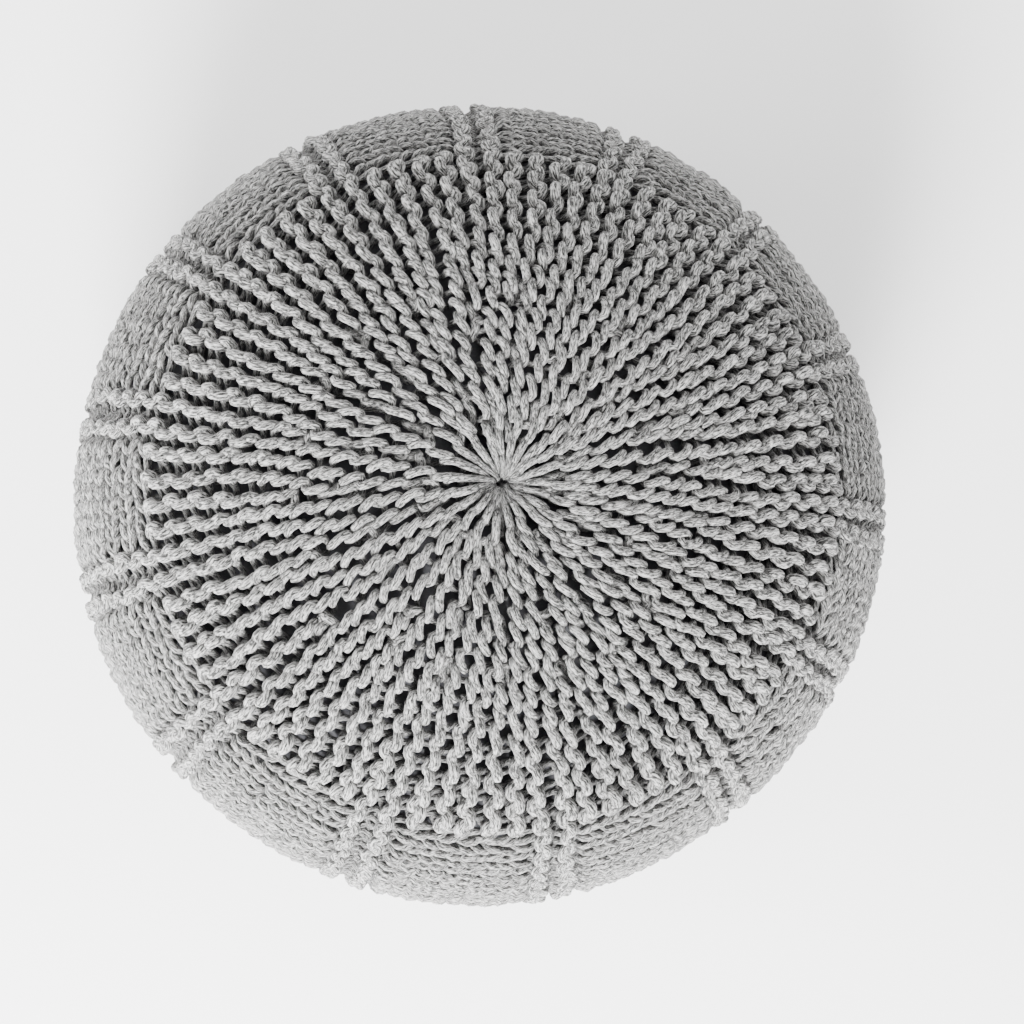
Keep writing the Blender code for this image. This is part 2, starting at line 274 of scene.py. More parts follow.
cotton_cord = make_cotton_cord()
print("Made", cotton_cord.name)

# %% [markdown]
# ## The pouf's outline
#
# The cushion is a solid of revolution with full shoulders and a rounded flank. The outline
# goes from the crown, over the shoulder, down the flank and under to the base opening. It is
# the same curve that the CAD cover was turned from. The knitting lies on it, so the curve is
# kept as arrays along its own length s.

# %% Outline
POUF_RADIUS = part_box("knitted_cover")[1][0]
WAIST_HEIGHT = 150 * MM
CROWN_HEIGHT = 318 * MM
SHOULDER_FULLNESS = 2.5
FLANK_FULLNESS = 2.2
FOOT_RADIUS = 176 * MM
DIMPLE_DEPTH = 6 * MM
DIMPLE_RADIUS = 45 * MM
BASE_OPENING_RADIUS = 150 * MM
SHOULDER_POINTS, FLANK_POINTS, FOOT_POINTS = 500, 400, 40


class Outline:
    """The pouf's outline moved inwards by `inset`, as a function of s, the distance along it
    from the crown.

    Shoulder: r = R cos(t)^(2/f), z = waist + rise sin(t)^(2/f), less a bell-shaped dimple.
    Flank: r = foot + (R − foot) cos(t)^(2/g), z = waist (1 − sin(t)^(2/g)).
    Then flat along the floor to the base opening.
    """

    def __init__(self, inset=0.0):
        t = np.linspace(math.pi / 2, 0, SHOULDER_POINTS)
        shoulder_r = POUF_RADIUS * np.cos(t).clip(0) ** (2 / SHOULDER_FULLNESS)
        rise = (CROWN_HEIGHT - WAIST_HEIGHT) * np.sin(t) ** (2 / SHOULDER_FULLNESS)
        shoulder_z = WAIST_HEIGHT + rise
        shoulder_z -= DIMPLE_DEPTH * np.exp(-((shoulder_r / DIMPLE_RADIUS) ** 2))
        t = np.linspace(0, math.pi / 2, FLANK_POINTS)[1:]
        flank_r = FOOT_RADIUS + (POUF_RADIUS - FOOT_RADIUS) * np.cos(t).clip(0) ** (2 / FLANK_FULLNESS)
        flank_z = WAIST_HEIGHT * (1 - np.sin(t) ** (2 / FLANK_FULLNESS))
        foot_r = np.linspace(FOOT_RADIUS, BASE_OPENING_RADIUS, FOOT_POINTS)[1:]
        r = np.concatenate([shoulder_r, flank_r, foot_r])
        z = np.concatenate([shoulder_z, flank_z, 0 * foot_r])
        forward = unit(np.stack([np.gradient(r), np.gradient(z)], -1))
        self.out_r, self.out_z = -forward[:, 1], forward[:, 0]
        self.r, self.z = r - inset * self.out_r, z - inset * self.out_z
        inside = self.r >= 0
        self.r, self.z, self.out_r, self.out_z = (v[inside] for v in (self.r, self.z, self.out_r, self.out_z))
        self.s = np.concatenate([[0], np.cumsum(np.hypot(np.diff(self.r), np.diff(self.z)))])

    def at(self, s):
        """Radius, height, and the outward direction's two parts, at distance s."""
        r, z, a, b = (np.interp(s, self.s, v) for v in (self.r, self.z, self.out_r, self.out_z))
        length = np.hypot(a, b)
        return r, z, a / length, b / length


cover_line = Outline()
print(f"Outline {cover_line.s[-1] / MM:.0f} mm long, {2 * cover_line.r.max() / MM:.0f} mm across")

# %% The cushion, settled
SETTLED_WIDTHS = np.array([0.993, 0.978])
LUMP, THREE_LUMPS, FIVE_LUMPS = 0.005, 0.6, 0.4
SETTLED_FROM = 80 * MM


def settled(points):
    """Where the points lie once the cushion has been sat on and is a little out of round.

    x and y shrink to SETTLED_WIDTHS, and swell and sink by LUMP in a wave of three lumps and
    one of five round the pouf. All of it fades out below SETTLED_FROM, so the base keeps its
    shape.
    """
    phi = np.arctan2(points[..., 1], points[..., 0])
    lumps = LUMP * (THREE_LUMPS * np.sin(3 * phi + 1.0) + FIVE_LUMPS * np.sin(5 * phi + 2.6))
    share = SETTLED_WIDTHS - 1 + lumps[..., None]
    widths = 1 + share * smooth(points[..., 2] / SETTLED_FROM)[..., None]
    return np.concatenate([points[..., :2] * widths, points[..., 2:]], -1)


# %% [markdown]
# ## The knitting
#
# The cover is knitted sideways. Each row of stitches runs from the crown out over the edge
# and down to the foot, and the next row is worked back beside it. Short rows that stop
# before the crown fill each wedge out: one ridge of two rows reaches the crown, and three
# more ridges start further out. The top is garter stitch, whose ridges stand up like ropes
# with deep gaps between them. The side is stocking stitch, except under some ridges that
# carry on down as ribs.
#
# A printed stitch pattern would look flat here, because one sees through the gaps to the
# black lining. So the real path of the cord is worked out, and a tube is run along it.
#
# In a row, the cord's phase t goes once round for each stitch. Its place along the row is
# s = n + a·sin 2t ± b·sin t, which leans the sides of each loop and spreads the arcs that
# show at the front. Its place across the row is y = A·cos t, which carries it from one row
# edge to the other, and its depth brings each edge to the front or the back of the fabric.

# %% Stitch counts and wedges
WEDGES = 22
RIDGES = 4
FABRIC_DEPTH = 6.2 * MM
KNIT_EDGE_RADIUS = 199 * MM
BASE_TUCK = 3 * MM
GRID_POINTS = 2000

fabric = Outline(FABRIC_DEPTH)
shoulder_part = fabric.z > WAIST_HEIGHT
EDGE_AT = np.interp(KNIT_EDGE_RADIUS, fabric.r[shoulder_part], fabric.s[shoulder_part])
END_AT = fabric.s[-1] - BASE_TUCK

# Each stitch's length at a distance from the crown, both in mm. Stitches are stretched long
# at the crown, and close up over the edge.
STITCH_LENGTHS = {0: 21.5, 60: 21.2, 100: 19.0, 140: 16.0, 180: 14.2, 215: 13.6, 250: 12.6}
s_grid = np.linspace(0, END_AT, GRID_POINTS)
stitch_grid = np.interp(s_grid, [s * MM for s in STITCH_LENGTHS], [v * MM for v in STITCH_LENGTHS.values()])
stitches_per_step = np.diff(s_grid) / ((stitch_grid[1:] + stitch_grid[:-1]) / 2)
count_grid = np.concatenate([[0], np.cumsum(stitches_per_step)])
EDGE_COUNT = np.interp(EDGE_AT, s_grid, count_grid)
END_COUNT = count_grid[-1]
print(f"{END_COUNT:.1f} stitches from crown to foot, the edge at stitch {EDGE_COUNT:.1f}")

# %% Where ridges begin and how a wedge is shared
RIDGE_STARTS = np.array([5, 38, 80, 110]) * MM
RIDGE_SPREAD = 34 * MM
RIDGE_LEAD = 5 * MM
RIDGE_GROWTH = 0.6
GAP_LEAN = 0.85
GAP_LEAN_FADE = 30 * MM


def wedge_edges(s):
    """The nine row edges of a wedge, as shares of its width, at distance s from the crown.

    Each ridge's share grows from nothing at its start to full over RIDGE_SPREAD, as the
    distance to the power RIDGE_GROWTH. Odd edges are ridges, in the middle of a share. Even
    edges are the furrows between ridges; on the top they lie nearer the next ridge, which
    hides them.
    """
    grown = np.clip((s[None] - RIDGE_STARTS[:, None] + RIDGE_LEAD) / RIDGE_SPREAD, 0, 1) ** RIDGE_GROWTH
    grown[0] = 1
    share = grown / grown.sum(0)
    before = np.concatenate([np.zeros((1, len(s))), np.cumsum(share, 0)])
    lean = GAP_LEAN * (1 - smooth((s - EDGE_AT) / GAP_LEAN_FADE + 0.5))
    edges = np.empty((2 * RIDGES + 1, len(s)))
    edges[1::2] = before[:-1] + share / 2
    edges[0::2] = before + lean * np.concatenate([share, share[:1]]) / 2
    return edges


# %% Ribs that carry on down the side
RIDGES_TO_NEXT_RIB = [6, 6, 6, 6, 6, 6, 6, 6, 7, 7, 7, 6, 6, 7]
FIRST_RIB_ANGLE = math.radians(24.6)
DRIFT, DRIFT_FROM = math.radians(3.3), math.radians(20)
rib_places = np.cumsum([0] + RIDGES_TO_NEXT_RIB[:-1])
RIBS = {int(k + side) % (WEDGES * RIDGES) for k in rib_places for side in (0, -1)}
print(len(RIDGES_TO_NEXT_RIB), "ribs of two ridges each, of", WEDGES * RIDGES, "ridges")


def wedge_angle(wedge, share):
    """The angle round the pouf at a share of a wedge's width. The wedges are a little wider on
    one side than on the other: a sine of the angle is taken off it."""
    angle = TURN * (wedge + share - 1 / (2 * RIDGES)) / WEDGES + FIRST_RIB_ANGLE
    return angle - DRIFT * np.sin(angle - DRIFT_FROM)


# %% [markdown]
# ### The path of one row
#
# Real hand knitting is uneven, so each stitch's height, depth and place wander a little.
# Near the crown the loops are pulled out straight. There the two rows of a ridge lie one on
# the other, and their ends dive into the hole that the gathering cord closes. Further out
# the loops relax into round arcs, whose legs sink between them. On the side, each stitch of
# stocking stitch is a V of two slanting legs.

# %% Sizes of a stitch, on the top, at the edge and on the side
LOOP_LEAN_TOP, LOOP_LEAN_EDGE, LOOP_LEAN_SIDE = 0.6, 0.85, -0.05
LOOP_OVERLAP_TOP, LOOP_OVERLAP_EDGE, LOOP_OVERLAP_SIDE = 0.8 * MM, 5.4 * MM, 9.0 * MM
RIDGE_RISE, RIB_RISE, SIDE_RISE = 4.8 * MM, 3.3 * MM, 3.3 * MM
ARC_SPREAD = 0.45
ROPE_SLANT = 1.8 * MM
LEG_DIP = 2.4 * MM
FIRST_ROW_FRONT = 0.9 * MM
V_FRONT = 0.4
LOOSE_CORD_DIAMETER, SIDE_CORD_DIAMETER, LOW_CORD_DIAMETER = 6.1 * MM, 4.2 * MM, 5.2 * MM
PULLED_THIN_TOP, PULLED_THIN_EDGE = 0.72, 0.62
FULL_ARC = 1.08
PLUMP_SLOPE, PLUMP_LEVEL = 1.25, 0.25

# Distances from the crown, or lengths of one, over which one form gives way to the next.
STRETCHED_TO = 85 * MM
SIDE_CORD_FADE = 100 * MM
STRAIGHT_RADIUS, KNIT_FROM_STRAIGHT = 6 * MM, 16 * MM
SLANT_RADIUS, SLANT_GROWTH = 15 * MM, 40 * MM

# At the crown, the two rows of a ridge lie this far apart, are squeezed, and dive.
CROWN_STACK, CROWN_SPLIT = 2.1 * MM, 0.7 * MM
CROWN_SQUEEZE, SQUEEZE_RADIUS, SQUEEZE_FADE = 0.70, 6 * MM, 20 * MM
CROWN_DIVE, DIVE_RADIUS, DIVE_FADE = 6 * MM, 3 * MM, 9 * MM

# Stitches over which the side, the drift and a row's first and last loops come in.
SIDE_FADE, DRIFT_FADE, DRIFT_GROWTH = 0.8, 3, 1.5
FIRST_LOOP, LAST_LOOP, LAST_LOOP_PAST = 0.9, 0.8, 0.2

# How far the hand's unevenness goes, mostly as shares, and the noise rows it is read from.
RIDGE_DRIFT, UNEVEN_PLACE, UNEVEN_REACH, UNEVEN_RISE = 0.22, 0.07, 0.14, 0.15
RIDGE_WANDER = 0.9 * MM
REACH_SEED, RISE_SEED, RIDGE_SEED, PLACE_SEED, DRIFT_SEED, START_SEED = 0, 30, 60, 90, 200, 201


# %% One row of stitches
def cord_radius(height, free, knit, relaxed, side, rib, s, r):
    """The cord's radius along a row. It is plump where it lies free at the front, where the
    height is near 1, and pulled thin where it goes through to the back. At the crown it is
    squeezed, and its diameter changes from the top to the edge and from there to the foot."""
    thin, full = between(PULLED_THIN_TOP, PULLED_THIN_EDGE, free), between(1, FULL_ARC, free)
    plump = between(thin, full, smooth(PLUMP_SLOPE * height + PLUMP_LEVEL))
    plump = 1 + (plump - 1) * knit
    squeeze = CROWN_SQUEEZE + (1 - CROWN_SQUEEZE) * smooth((r - SQUEEZE_RADIUS) / SQUEEZE_FADE)
    below = between(SIDE_CORD_DIAMETER, LOW_CORD_DIAMETER, smooth((s - EDGE_AT) / SIDE_CORD_FADE))
    if rib:
        below = LOOSE_CORD_DIAMETER
    diameter = between(between(CORD_DIAMETER, LOOSE_CORD_DIAMETER, relaxed), below, side)
    return diameter / 2 * plump * squeeze


def row_path(wedge, row, count, start):
    """Points, outward directions, radii and depths of the cord along a row, at stitch numbers
    `count` from `start`.

    Across the row, y = A cos t + slant sin 2t, where A is half the row's width and half the
    overlap. The cord's height is 1 on a ridge and −1 in a furrow. From the heights of the
    row's first and last edges it is half their sum × cos 2t + half their difference × cos t.
    The depth is the rise times that height, less a dip × sin² t in the legs of relaxed loops,
    and the first row's arcs lie a little in front of the second's. On the side, one end of
    each V lies further forward than the other, by V_FRONT × cos t.
    """
    number = 2 * RIDGES * wedge + row
    ridge = number // 2
    rib = ridge in RIBS
    under = -1 if row % 2 else 1
    t = TURN * count

    # Where along the outline: the ridge as a whole drifts, and each loop leans and spreads.
    side = smooth((count - EDGE_COUNT) / SIDE_FADE + 0.5)
    on_top = 1 - smooth((count - EDGE_COUNT) / DRIFT_FADE + 1)
    ridge_drift = RIDGE_DRIFT * NOISE_TABLE[DRIFT_SEED, ridge % NOISE_COLUMNS]
    drift = ridge_drift * on_top * smooth((count - start) / DRIFT_GROWTH)
    s_mid = np.interp(count + drift, count_grid, s_grid)
    stitch = np.interp(s_mid, s_grid, stitch_grid)
    relaxed = smooth((s_mid - STRETCHED_TO) / (EDGE_AT - STRETCHED_TO))
    top_lean = between(LOOP_LEAN_TOP, LOOP_LEAN_EDGE, relaxed)
    lean = between(top_lean, LOOP_LEAN_EDGE if rib else LOOP_LEAN_SIDE, side)
    spread = ARC_SPREAD * (1 if rib else 1 - side) * under
    s = s_mid + stitch / TURN * (lean * np.sin(2 * t) + spread * np.sin(t))
    s = s + UNEVEN_PLACE * stitch * wander(number + PLACE_SEED, count)
    r, z, out_r, out_z = fabric.at(s)
    r_mid = fabric.at(s_mid)[0]

    # How wide: half the row and half the overlap, less at the crown and at the row's ends.
    edges = wedge_edges(s_mid)
    width = (edges[row + 1] - edges[row]) * TURN * r_mid / WEDGES
    last_loop = (END_COUNT + LAST_LOOP_PAST - count) / LAST_LOOP
    loose = smooth((count - start) / FIRST_LOOP) * smooth(last_loop)
    knit = smooth((r_mid - STRAIGHT_RADIUS) / KNIT_FROM_STRAIGHT) * loose
    top_overlap = between(LOOP_OVERLAP_TOP, LOOP_OVERLAP_EDGE, relaxed)
    overlap = between(top_overlap, LOOP_OVERLAP_EDGE if rib else LOOP_OVERLAP_SIDE, side)
    uneven = 1 + UNEVEN_REACH * wander(number + REACH_SEED, count)
    reach = (width + overlap * knit) / 2 * loose * uneven

    # How deep: a row's edges are a ridge and a furrow, and on the side two furrows.
    up_at_ridge = 1.0 if rib else 1 - 2 * side
    first, last = (up_at_ridge, -1.0) if row % 2 == 0 else (-1.0, up_at_ridge)
    rise = between(RIDGE_RISE, RIB_RISE if rib else SIDE_RISE, side) * knit
    rise = rise * (1 + UNEVEN_RISE * wander(number + RISE_SEED, count))
    height = (first + last) / 2 * np.cos(2 * t) + (first - last) / 2 * np.cos(t)
    height = height + V_FRONT * side * (not rib) * np.cos(t)
    free = relaxed * (1 - side)
    in_front = FIRST_ROW_FRONT * under * free * np.clip(np.cos(t) * under, 0, 1)
    depth = rise * height - LEG_DIP * free * np.sin(t) ** 2 + in_front
    dive = CROWN_DIVE * (1 - smooth((r_mid - DIVE_RADIUS) / DIVE_FADE))
    depth = depth + under * CROWN_STACK * (1 - knit) - dive

    slant = ROPE_SLANT * smooth((r_mid - SLANT_RADIUS) / SLANT_GROWTH) * (1 - relaxed)
    ridge_wander = RIDGE_WANDER * wander(ridge + RIDGE_SEED, count / 2.0) * knit
    y = reach * np.cos(t) + slant * np.sin(2 * t) + ridge_wander
    y = y - under * CROWN_SPLIT * (1 - knit)

    # Into the pouf's own x, y and z.
    phi = wedge_angle(wedge, (edges[row] + edges[row + 1]) / 2)
    c, q = np.cos(phi), np.sin(phi)
    out = np.stack([out_r * c, out_r * q, out_z], -1)
    points = np.stack([r * c - y * q, r * q + y * c, z], -1) + out * depth[:, None]
    radius = cord_radius(height, free, knit, relaxed, side, rib, s_mid, r)
    return settled(points), out, radius, depth


# %% [markdown]
# ### A tube along a path
#
# The tube's ring of points is set square to the path, and turned by the fabric's outward
# direction so that it doesn't spin. Its first UV map holds the distance along the cord and
# the share of a turn. A second one, for baking, lays the same tube out in strips that fill
# a square, because a tube hundreds of times longer than wide would waste it.

# %% Tubes
CORD_SIDES = 8
STRIP_GAP = 0.12
STRIP_END = 0.02
BAKE_MARGIN = 0.004


def bake_strips(along, around, girth):
    """(u, v) in a unit square for faces of long tubes. The whole length is cut into equal
    strips, stacked one above the other, as many as give equal scale both ways: the square root
    of length over girth."""
    total = along.max() + 1e-6
    strips = max(1, int(math.sqrt(total / girth)))
    strip = np.minimum((along.min(1, keepdims=True) / total * strips).astype(int), strips - 1)
    u = (along - strip * total / strips) / (total / strips + STRIP_END)
    v = (strip + STRIP_GAP / 2 + around * (1 - STRIP_GAP)) / strips
    return np.stack([BAKE_MARGIN + (1 - 2 * BAKE_MARGIN) * np.clip(u, 0, 1), v], -1)


def tube(points, out, radius, depth=0.0, sides=CORD_SIDES):
    """A tube along `points`. Each ring is centre + radius (cos θ · across + sin θ · up), where
    across = out × forward and up = forward × across.

    Returns points, faces, each face corner's distance along and share of a turn, and each
    point's height: its centre's depth plus its own reach outwards.
    """
    forward = unit(np.gradient(points, axis=0))
    across = unit(np.cross(out, forward))
    up = np.cross(forward, across)
    theta = np.linspace(0, TURN, sides, endpoint=False)[None, :, None]
    ring = np.cos(theta) * across[:, None] + np.sin(theta) * up[:, None]
    surface = points[:, None] + ring * np.broadcast_to(radius, len(points))[:, None, None]
    faces = grid_faces(len(points), sides, wrap=True)
    steps = np.linalg.norm(np.diff(points, axis=0), axis=1)
    lengths = np.concatenate([[0], np.cumsum(steps)])
    i, j = np.meshgrid(np.arange(len(points) - 1), np.arange(sides), indexing="ij")
    along = np.stack([lengths[i], lengths[i], lengths[i + 1], lengths[i + 1]], -1).reshape(-1, 4)
    around = (np.stack([j, j + 1, j + 1, j], -1) / sides).reshape(-1, 4)
    outwards = np.sum((surface - points[:, None]) * out[:, None], -1)
    height = np.broadcast_to(depth, len(points))[:, None] + outwards
    return surface.reshape(-1, 3), faces, along, around, height.ravel()


def join_tubes(tubes, girth):
    """Several tubes as one set of points and faces, with their lengths laid end to end in both
    UV maps. Returns points, faces, the UV maps, the heights and the whole length."""
    points, faces, along, around, heights = [], [], [], [], []
    total = count = 0
    for p, f, a, v, h in tubes:
        points.append(p)
        heights.append(h)
        faces.append(f + count)
        along.append(a + total)
        around.append(v)
        count += len(p)
        total += a.max()
    along, around = np.concatenate(along), np.concatenate(around)
    maps = {"Strand": np.stack([along, around], -1), "OFBake": bake_strips(along, around, girth)}
    return np.concatenate(points), np.concatenate(faces), maps, {"Height": np.concatenate(heights)}, total


# %% The cover, one wedge at a time
STEPS_PER_STITCH = 14
HAIRPIN_POINTS = 7
FLOOR_GAP = 0.1 * MM
CROWN_STAGGER, START_WANDER = 4 * MM, 5 * MM


def ridge_path(wedge, ridge):
    """The path of a ridge: in along its first row, round a hairpin, and out along its second.

    The hairpin is half a circle between the two rows' ends. At the crown, every other wedge
    ends CROWN_STAGGER further out. The floor holds up the cord under the pouf.
    """
    stagger = START_WANDER * NOISE_TABLE[START_SEED + ridge, wedge]
    if ridge == 0:
        stagger = CROWN_STAGGER * (wedge % 2)
    start = np.interp(RIDGE_STARTS[ridge] + stagger, s_grid, count_grid)
    count = np.linspace(start, END_COUNT, int((END_COUNT - start) * STEPS_PER_STITCH))
    first, first_out, first_radius, first_depth = row_path(wedge, 2 * ridge, count, start)
    last, last_out, last_radius, last_depth = row_path(wedge, 2 * ridge + 1, count, start)
    middle = (first[0] + last[0]) / 2
    inward = unit(first[0] - first[3])
    theta = np.linspace(0, math.pi, HAIRPIN_POINTS)[1:-1, None]
    half_gap = first[0] - middle
    bend = middle + half_gap * np.cos(theta) + inward * np.linalg.norm(half_gap) * np.sin(theta)
    turns = len(bend)
    points = np.concatenate([first[::-1], bend, last])
    out = np.concatenate([first_out[::-1], np.repeat(first_out[:1], turns, 0), last_out])
    radius = np.concatenate([first_radius[::-1], np.repeat(first_radius[:1], turns), last_radius])
    depth = np.concatenate([first_depth[::-1], np.repeat(first_depth[:1], turns), last_depth])
    points[:, 2] = np.maximum(points[:, 2], radius + FLOOR_GAP)
    return points, out, radius, depth


def knit_wedge(wedge):
    """One wedge of the cover: its four ridges as one piece. Returns the cord's length."""
    tubes = [tube(*ridge_path(wedge, ridge)) for ridge in range(RIDGES)]
    points, faces, maps, values, length = join_tubes(tubes, math.pi * CORD_DIAMETER)
    name = f"knit_wedge_{wedge + 1:02d}"
    piece = make_piece(name, points, faces, cotton_cord, maps=maps, values=values)
    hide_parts("knitted_cover")
    return length


cord_length = sum(knit_wedge(wedge) for wedge in range(WEDGES))
print(f"{cord_length:.0f} m of cord in {WEDGES} wedges")

# %% [markdown]
# ## The lining bag
#
# Under the knitting lies a black bag of plain woven polyester, sewn from a top panel, a side
# band and a bottom panel. It bulges a little between its seams, and fine pleats run in from
# them. Each panel is its own surface of revolution whose radius and height wander with the
# angle, cut from the same outline as the cover, so that it follows it at a steady depth.

# %% Black lining material
LINING_GRAIN = 1.2 * MM
LINING_RELIEF = 0.2 * MM


def make_black_lining():
    """Plain woven polyester, black, but painted a lighter charcoal: painted light, for the light that falls
    on it through the knitting's gaps.
    Its threads are too fine to show, so the weave is drawn coarser, at LINING_GRAIN."""
    material, tree, shader = start_material(
        "black_polyester_lining_plain_woven", Roughness=0.95, Specular_IOR_Level=0.1)
    place = add_node(tree, "ShaderNodeTexCoord")
    threads = add_node(tree, "ShaderNodeTexNoise", {
        "Vector": place.outputs["Object"], "Scale": 1 / LINING_GRAIN, "Detail": 2.0})
    # Painted light: the black lining is coloured charcoal, #47474A to #606063.
    colour = add_node(tree, "ShaderNodeValToRGB", {0: threads.outputs["Fac"]}, stops={
        0.0: "#47474A", 1.0: "#606063"})
    bump = add_node(tree, "ShaderNodeBump", {
        "Strength": 0.5, "Distance": LINING_RELIEF, "Height": threads.outputs["Fac"]})
    tree.links.new(colour.outputs[0], shader.inputs["Base Color"])
    tree.links.new(bump.outputs[0], shader.inputs["Normal"])
    return material


black_lining = make_black_lining()

# %% Lining panels
LINING_DEPTH = 15.2 * MM
LINING_SEAM_RADIUS = 205 * MM
LINING_FACETS = 192
PLEATS, PLEAT_RISE, PLEAT_REACH = 96, 1.1 * MM, 14 * MM
LINING_WAVE, LINING_WAVE_STEP, LINING_WAVE_FROM = 0.5 * MM, 40 * MM, 60 * MM
BOTTOM_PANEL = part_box("lining_bottom_panel")
BOTTOM_WAVE, BOTTOM_WAVE_STEP, BOTTOM_LIFT = 0.4 * MM, 30 * MM, 0.5 * MM


def angles(facets):
    """The angles of `facets` points round the axis, as one row."""
    return np.linspace(0, TURN, facets, endpoint=False)[None]


def turned(r, z, out_r, out_z, rise, phi):
    """A surface turned about the axis: (r + out_r·rise) round the angle, at height
    z + out_z·rise. r and z vary along the rows, and rise with the row and the angle."""
    r, z = r[:, None] + out_r[:, None] * rise, z[:, None] + out_z[:, None] * rise
    return settled(np.stack([r * np.cos(phi), r * np.sin(phi), z + 0 * phi], -1).reshape(-1, 3))


def lining_piece(name, node, points):
    """A panel of the lining from its points, as a piece that stands for a CAD node."""
    faces = grid_faces(len(points) // LINING_FACETS, LINING_FACETS, wrap=True)[:, ::-1]
    panel = make_piece(name, points, faces, black_lining, weld=True)
    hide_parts(node)


def lining_panel(name, node, start, end, steps=40):
    """A panel between s = start and end along the lining's outline. Its rise above the outline
    is a slow wave, less pleats, |sin| of the angle, that die away from the panel's seams."""
    s = np.linspace(start, end, steps)
    r, z, out_r, out_z = lining.at(s)
    seam = np.exp(-(end - s) / PLEAT_REACH) + (np.exp(-(s - start) / PLEAT_REACH) if start > 0 else 0)
    slow = LINING_WAVE * np.sin(s / LINING_WAVE_STEP) * smooth(r / LINING_WAVE_FROM)
    phi = angles(LINING_FACETS)
    pleats = np.abs(np.sin(PLEATS / 2 * phi + 0.6 * np.sin(5 * phi)))
    rise = slow[:, None] * np.sin(3 * phi) - PLEAT_RISE * seam[:, None] * pleats
    lining_piece(name, node, turned(r, z, out_r, out_z, rise, phi))


def lining_bottom(name, node, steps=24):
    """The flat panel under the filling: r from the rim in to the axis, sagging between its rim
    and its middle by a shallow wave, with pleats round the rim."""
    rim = BOTTOM_PANEL[1][0]
    r = np.linspace(rim, 0, steps)
    z = np.full(steps, BOTTOM_PANEL[0][2] + BOTTOM_LIFT)
    phi = angles(LINING_FACETS)
    seam = np.exp(-(rim - r) / PLEAT_REACH)[:, None]
    sag = BOTTOM_WAVE * np.sin(r / BOTTOM_WAVE_STEP)[:, None] * np.sin(4 * phi)
    rise = sag + BOTTOM_WAVE * seam * np.abs(np.sin(PLEATS / 2 * phi))
    lining_piece(name, node, turned(r, z, 0 * r, 0 * r + 1, rise, phi))


lining = Outline(LINING_DEPTH)
top_part = lining.z > WAIST_HEIGHT
SEAM_TOP = np.interp(LINING_SEAM_RADIUS, lining.r[top_part], lining.s[top_part])
low_part = lining.z < WAIST_HEIGHT
SEAM_LOW = np.interp(-BOTTOM_PANEL[1][0], -lining.r[low_part], lining.s[low_part])
lining_panel("lining_bag_top", "lining_top_panel", 0.0, SEAM_TOP)
lining_panel("lining_bag_side", "lining_side_band", SEAM_TOP, SEAM_LOW)
lining_bottom("lining_bag_bottom", "lining_bottom_panel")
print(f"Lining seams {SEAM_TOP / MM:.0f} and {SEAM_LOW / MM:.0f} mm from the crown")

# %% [markdown]
# ## The bead filling
#
# The bag is filled with expanded polystyrene beads, about 3 mm across. They are hidden, so
# they are one closed lumpy surface just inside the bag, with the beads drawn by a cell
# pattern in its material.

# %% Bead filling
BEAD_DIAMETER = 3 * MM
HEAP_FACETS = 96
HEAP_FLOOR_RINGS = 8
HEAP_GAP = 2 * MM
HEAP_WAVE, HEAP_WAVE_STEP, HEAP_WAVE_FROM = 0.6 * MM, 25 * MM, 50 * MM
HEAP_TWIST_STEP = 30 * MM


def make_white_beads():
    """Expanded polystyrene: white foam balls pressed together, drawn as round cells that darken towards the
    gaps between them as painted shade."""
    material, tree, shader = start_material("white_polystyrene_beads_expanded", Roughness=0.8)
    place = add_node(tree, "ShaderNodeTexCoord")
    cells = add_node(tree, "ShaderNodeTexVoronoi", {
        "Vector": place.outputs["Object"], "Scale": 1 / BEAD_DIAMETER})
    # Painted shade: each cell is coloured darker towards its edge, down to #A9A9A6 in the gaps.
    colour = add_node(tree, "ShaderNodeValToRGB", {0: cells.outputs["Distance"]}, stops={
        0.0: "#F6F6F4", 1.0: "#A9A9A6"})
    bump = add_node(tree, "ShaderNodeBump", {
        "Strength": 1.0, "Distance": BEAD_DIAMETER / 2, "Height": cells.outputs["Distance"]}, invert=True)
    tree.links.new(colour.outputs[0], shader.inputs["Base Color"])
    tree.links.new(bump.outputs[0], shader.inputs["Normal"])
    return material


def bead_heap(name, inset, steps=60):
    """The filling: the outline moved in by `inset`, then flat in to the axis, raised by slow
    waves along it and round it."""
    line = Outline(inset)
    s = np.linspace(0, line.s[-1], steps)
    r, z, out_r, out_z = line.at(s)
    inner = np.linspace(1, 0, HEAP_FLOOR_RINGS)[1:]
    s = np.concatenate([s, s[-1] + 0 * inner])
    r, z = np.concatenate([r, r[-1] * inner]), np.concatenate([z, z[-1] + 0 * inner])
    out_r, out_z = np.concatenate([out_r, 0 * inner]), np.concatenate([out_z, 0 * inner - 1])
    phi = angles(HEAP_FACETS)
    along = (np.sin(s / HEAP_WAVE_STEP) * smooth(r / HEAP_WAVE_FROM))[:, None]
    rise = HEAP_WAVE * np.sin(5 * phi + s[:, None] / HEAP_TWIST_STEP) * along
    faces = grid_faces(len(r), HEAP_FACETS, wrap=True)[:, ::-1]
    points = turned(r, z, out_r, out_z, rise, phi)
    return make_piece(name, points, faces, make_white_beads(), weld=True)


filling = bead_heap("bead_filling_heap", LINING_DEPTH + HEAP_GAP)
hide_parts("bead_filling")

# %% [markdown]
# ## The gathering cord
#
# At the crown a length of the same cotton cord is threaded through the ends of the rows and
# pulled tight. It lies below them as a small ring. It is a tube along a circle whose height
# and radius wander, a little more than one turn long so that its ends lie side by side.

# %% Gathering cord
RING_TURNS = 1.2
RING_WANDER, RING_LIFT, RING_SPIRAL = 0.3 * MM, 0.4 * MM, 1.2 * MM
RING_POINTS, RING_SIDES = 60, 12
RING_CORD_RADIUS = 0.42 * CORD_DIAMETER


